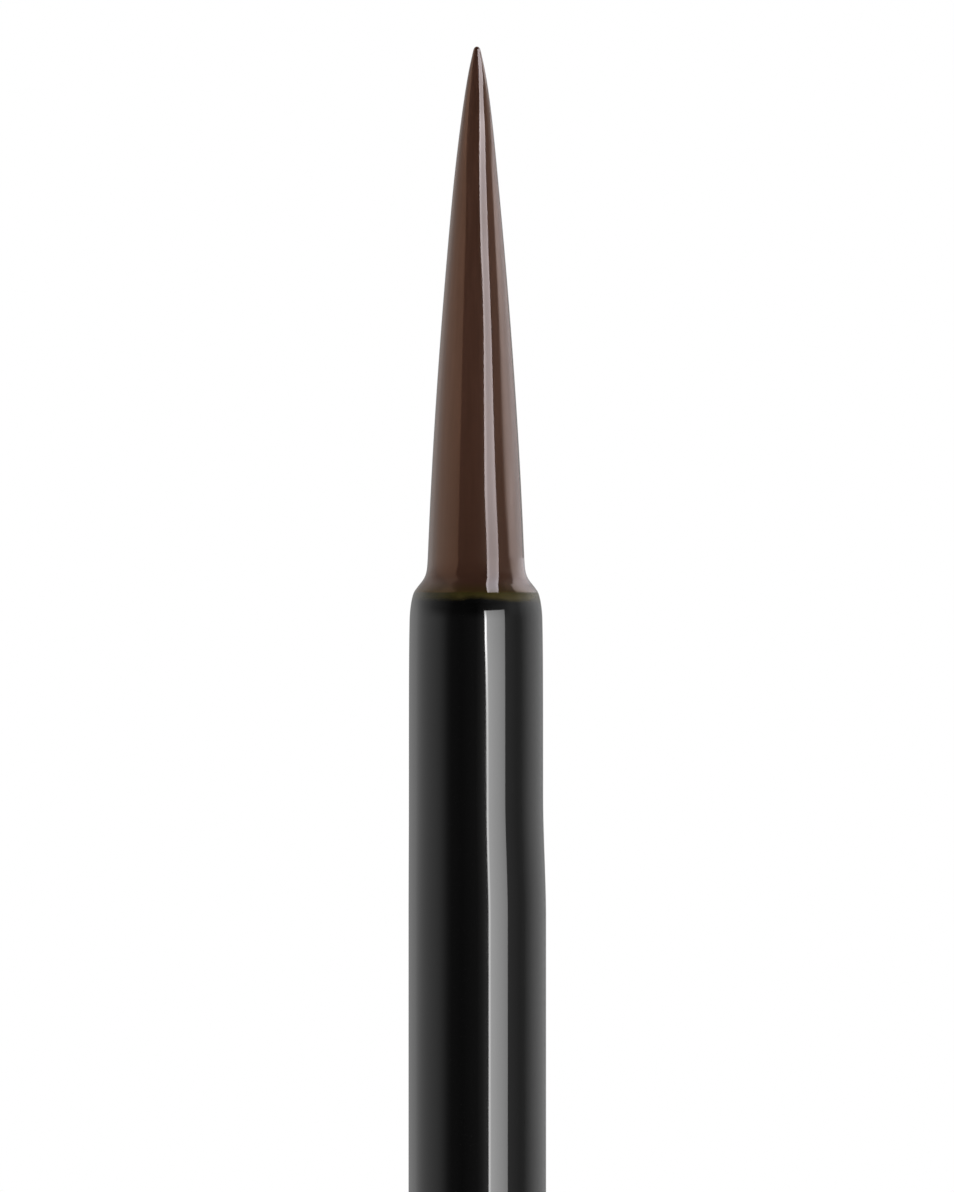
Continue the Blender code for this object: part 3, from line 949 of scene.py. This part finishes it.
def surround():
    """A studio tent that is dark behind the camera and brightest at both sides, towards the back."""
    world = bpy.data.worlds.new("studio")
    bpy.context.scene.world = world
    world.use_nodes = True
    tree = world.node_tree
    tree.nodes.clear()
    add = tree.nodes.new
    link = tree.links.new
    toward = add("ShaderNodeTexCoord")
    apart = add("ShaderNodeSeparateXYZ")
    link(toward.outputs["Generated"], apart.inputs[0])
    back = add("ShaderNodeMath")
    back.operation = "MULTIPLY"
    back.inputs[1].default_value = -1.0
    link(apart.outputs["Y"], back.inputs[0])
    turn = add("ShaderNodeMath")
    turn.operation = "ARCTAN2"
    link(apart.outputs["X"], turn.inputs[0])
    link(back.outputs[0], turn.inputs[1])
    place = add("ShaderNodeMapRange")
    place.inputs["From Min"].default_value = -math.pi
    place.inputs["From Max"].default_value = math.pi
    link(turn.outputs[0], place.inputs["Value"])

    def band(stops):
        ramp = add("ShaderNodeValToRGB")
        bar = ramp.color_ramp
        while len(bar.elements) < len(stops):
            bar.elements.new(1.0)
        for element, (azimuth, level) in zip(bar.elements, stops):
            element.position = (azimuth + 180) / 360
            element.color = (level / BAND_TOP,) * 3 + (1.0,)
        link(place.outputs["Result"], ramp.inputs["Fac"])
        return ramp.outputs["Color"]

    def blended(first, second, start, end):
        rise = add("ShaderNodeMapRange")
        rise.interpolation_type = "SMOOTHSTEP"
        rise.inputs["From Min"].default_value = math.sin(math.radians(start))
        rise.inputs["From Max"].default_value = math.sin(math.radians(end))
        link(apart.outputs["Z"], rise.inputs["Value"])
        both = add("ShaderNodeMix")
        both.data_type = "RGBA"
        link(rise.outputs["Result"], both.inputs[0])
        link(first, both.inputs[6])
        link(second, both.inputs[7])
        return both.outputs[2]

    lower = blended(band(LOW_BAND), band(MID_BAND), 1.5, 12.0)
    upper = blended(lower, band(HIGH_BAND), 14.0, 30.0)
    whole = blended(upper, band(TOP_BAND), 55.0, 80.0)
    tent = add("ShaderNodeBackground")
    tent.inputs["Strength"].default_value = BAND_TOP
    link(whole, tent.inputs["Color"])
    backdrop = add("ShaderNodeBackground")
    backdrop.inputs["Color"].default_value = (1.0, 1.0, 1.0, 1.0)
    rays = add("ShaderNodeLightPath")
    choice = add("ShaderNodeMixShader")
    link(rays.outputs["Is Camera Ray"], choice.inputs[0])
    link(tent.outputs[0], choice.inputs[1])
    link(backdrop.outputs[0], choice.inputs[2])
    output = add("ShaderNodeOutputWorld")
    link(choice.outputs[0], output.inputs["Surface"])


def floor_paint():
    """Pale matt paint, lifted a little for the camera, which a camera below the floor sees through."""
    paint = bpy.data.materials.new("floor")
    paint.use_nodes = True
    tree = paint.node_tree
    add = tree.nodes.new
    link = tree.links.new
    shader = tree.nodes["Principled BSDF"]
    shader.inputs["Base Color"].default_value = (0.82, 0.82, 0.82, 1.0)
    shader.inputs["Roughness"].default_value = 0.9
    shader.inputs["Specular IOR Level"].default_value = 0.1
    shader.inputs["Emission Color"].default_value = (1.0, 1.0, 1.0, 1.0)
    rays = add("ShaderNodeLightPath")
    lift = add("ShaderNodeMath")
    lift.operation = "MULTIPLY"
    lift.inputs[1].default_value = FLOOR_LIFT
    link(rays.outputs["Is Camera Ray"], lift.inputs[0])
    link(lift.outputs[0], shader.inputs["Emission Strength"])
    facing = add("ShaderNodeNewGeometry")
    from_below = add("ShaderNodeMath")
    from_below.operation = "MULTIPLY"
    link(rays.outputs["Is Camera Ray"], from_below.inputs[0])
    link(facing.outputs["Backfacing"], from_below.inputs[1])
    clear = add("ShaderNodeBsdfTransparent")
    seen = add("ShaderNodeMixShader")
    link(from_below.outputs[0], seen.inputs[0])
    link(shader.outputs[0], seen.inputs[1])
    link(clear.outputs[0], seen.inputs[2])
    link(seen.outputs[0], tree.nodes["Material Output"].inputs["Surface"])
    return paint


def floor():
    """Plain floor that the brush stands on."""
    sides = 96
    ring = []
    for side in range(sides):
        angle = 2 * math.pi * side / sides
        ring.append((FLOOR_RADIUS * math.cos(angle), FLOOR_RADIUS * math.sin(angle), 0.0))
    mesh = bpy.data.meshes.new("floor")
    mesh.from_pydata(ring, [], [tuple(range(sides))])
    mesh.update()
    mesh.materials.append(floor_paint())
    obj = bpy.data.objects.new("floor", mesh)
    bpy.context.scene.collection.objects.link(obj)
    obj.visible_glossy = False


def camera():
    """Level view of the upper end of the brush with a long lens."""
    data = bpy.data.cameras.new("camera")
    data.sensor_width = SENSOR_WIDTH
    data.lens = SENSOR_WIDTH * -CAMERA_PLACE[1] / (VIEW_HEIGHT * MM)
    data.clip_start, data.clip_end = 0.01, 20.0
    obj = bpy.data.objects.new("camera", data)
    obj.location = CAMERA_PLACE
    obj.rotation_euler = (math.radians(90), 0, 0)
    bpy.context.scene.collection.objects.link(obj)
    bpy.context.scene.camera = obj


def main():
    liquid = wet_tuft()
    rim_film()
    stem()
    cap_shell()
    end_disc()
    liner()
    washer()
    inner_parts()
    surround()
    front_lights(liquid)
    liquid_strips(*liquid)
    right_panels(*liquid)
    left_panels(*liquid)
    rear_light()
    floor()
    camera()
    bpy.context.scene.view_settings.view_transform = "Standard"


main()
